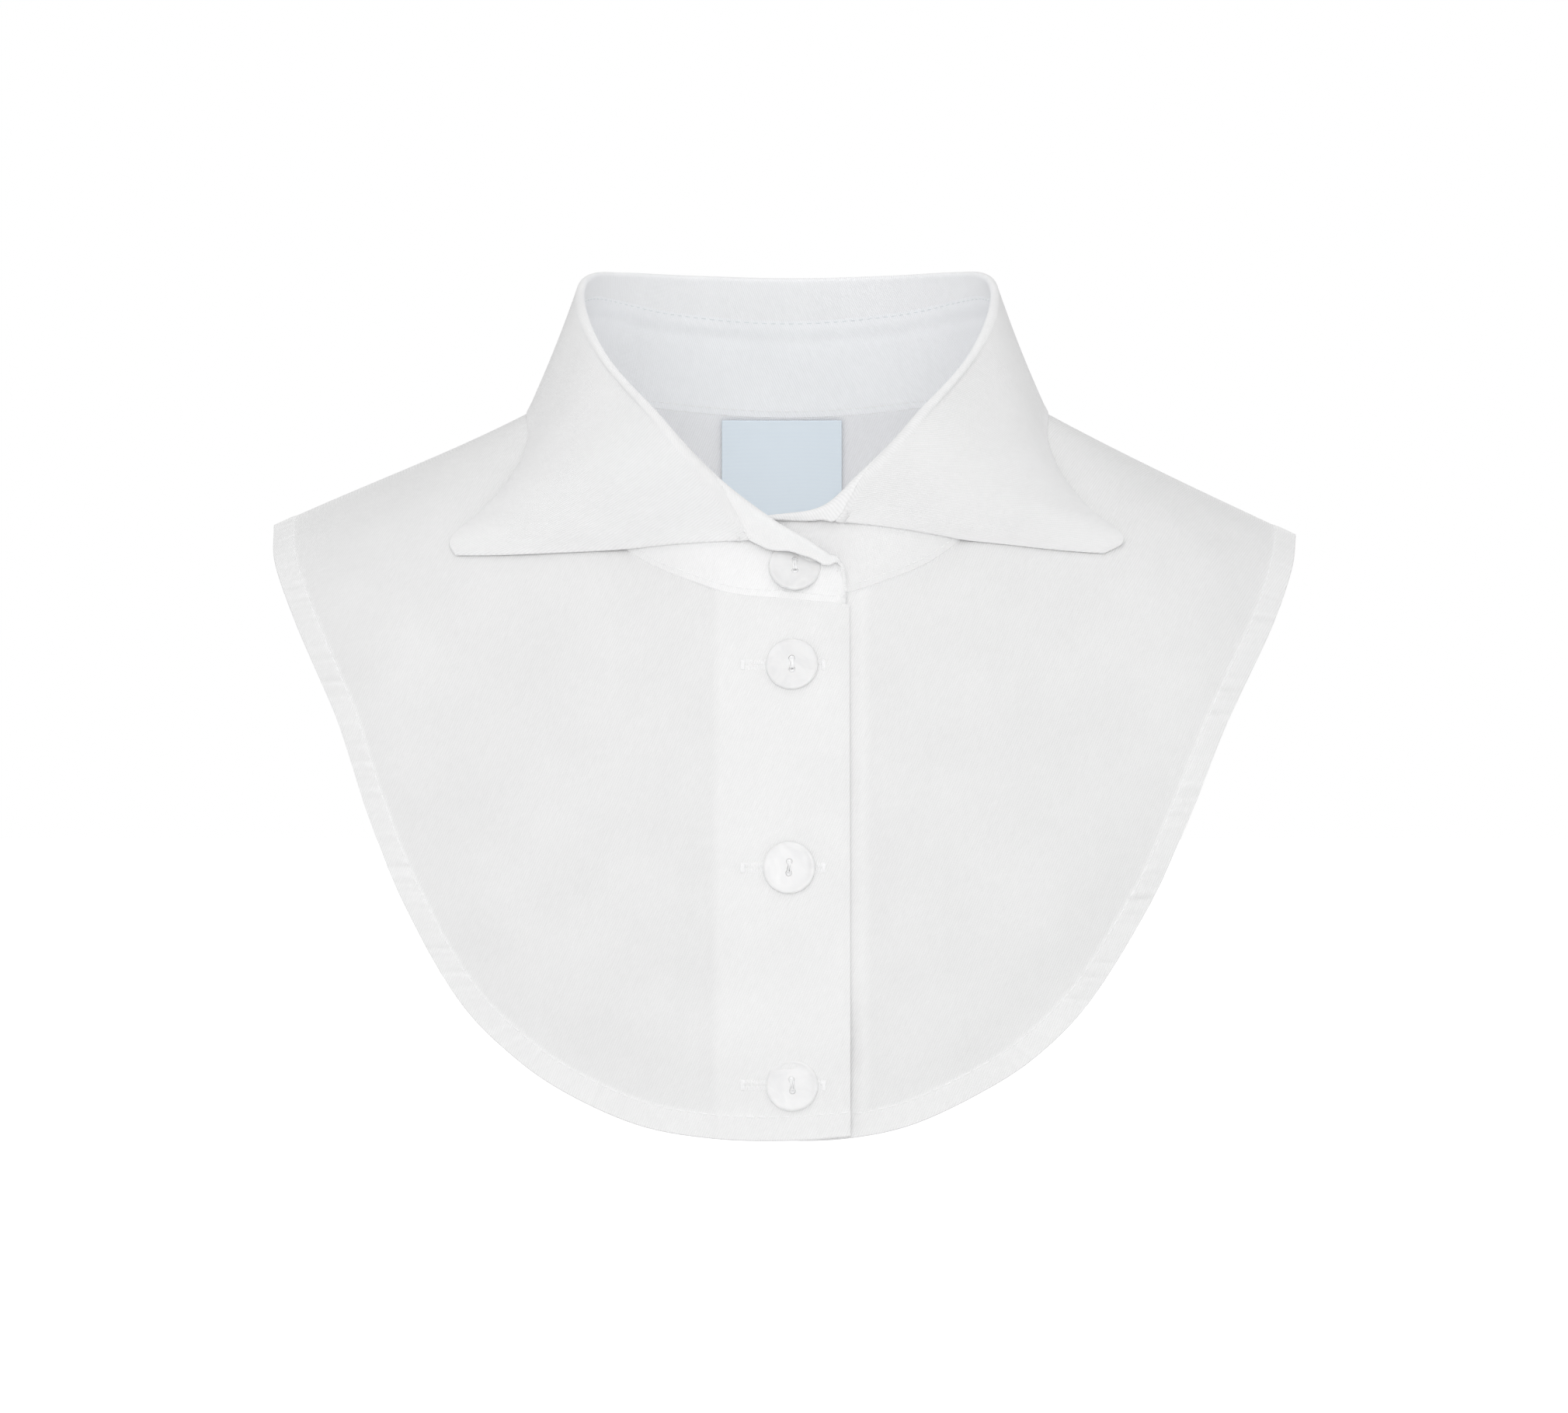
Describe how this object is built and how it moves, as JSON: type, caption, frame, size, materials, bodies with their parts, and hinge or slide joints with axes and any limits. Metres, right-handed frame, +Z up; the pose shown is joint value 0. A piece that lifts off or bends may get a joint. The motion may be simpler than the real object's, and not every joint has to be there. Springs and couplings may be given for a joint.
{
  "type": "detachable shirt collar",
  "caption": "Pointed turn-down shirt collar on a short sleeveless bib, buttoned at the front, open at the neck and sides.",
  "frame": {"origin": "on the neck's axis, level with the neck seam at the sides, where the wearer's neck holds the collar", "axes": "+Z up the wearer's neck, -Y the way the wearer faces, +X to the wearer's left"},
  "size_m": [0.2893, 0.1816, 0.2423],
  "materials": {
    "front_twill": "fine matt twill",
    "facing_twill": "fine matt twill",
    "back_twill": "fine matt twill",
    "stand_twill": "fine matt twill, stiffened",
    "leaf_twill": "fine matt twill, stiffened",
    "button_pearl": "pearly gloss",
    "label_satin": "smooth satin"
  },
  "bodies": {
    "root": {"front_right": "front_twill", "front_left": "front_twill", "facing_right": "facing_twill", "facing_left": "facing_twill", "back": "back_twill", "collar_stand": "stand_twill", "collar_leaf": "leaf_twill", "button_1": "button_pearl", "button_2": "button_pearl", "button_3": "button_pearl", "button_4": "button_pearl", "label": "label_satin"}
  },
  "joints": []
}
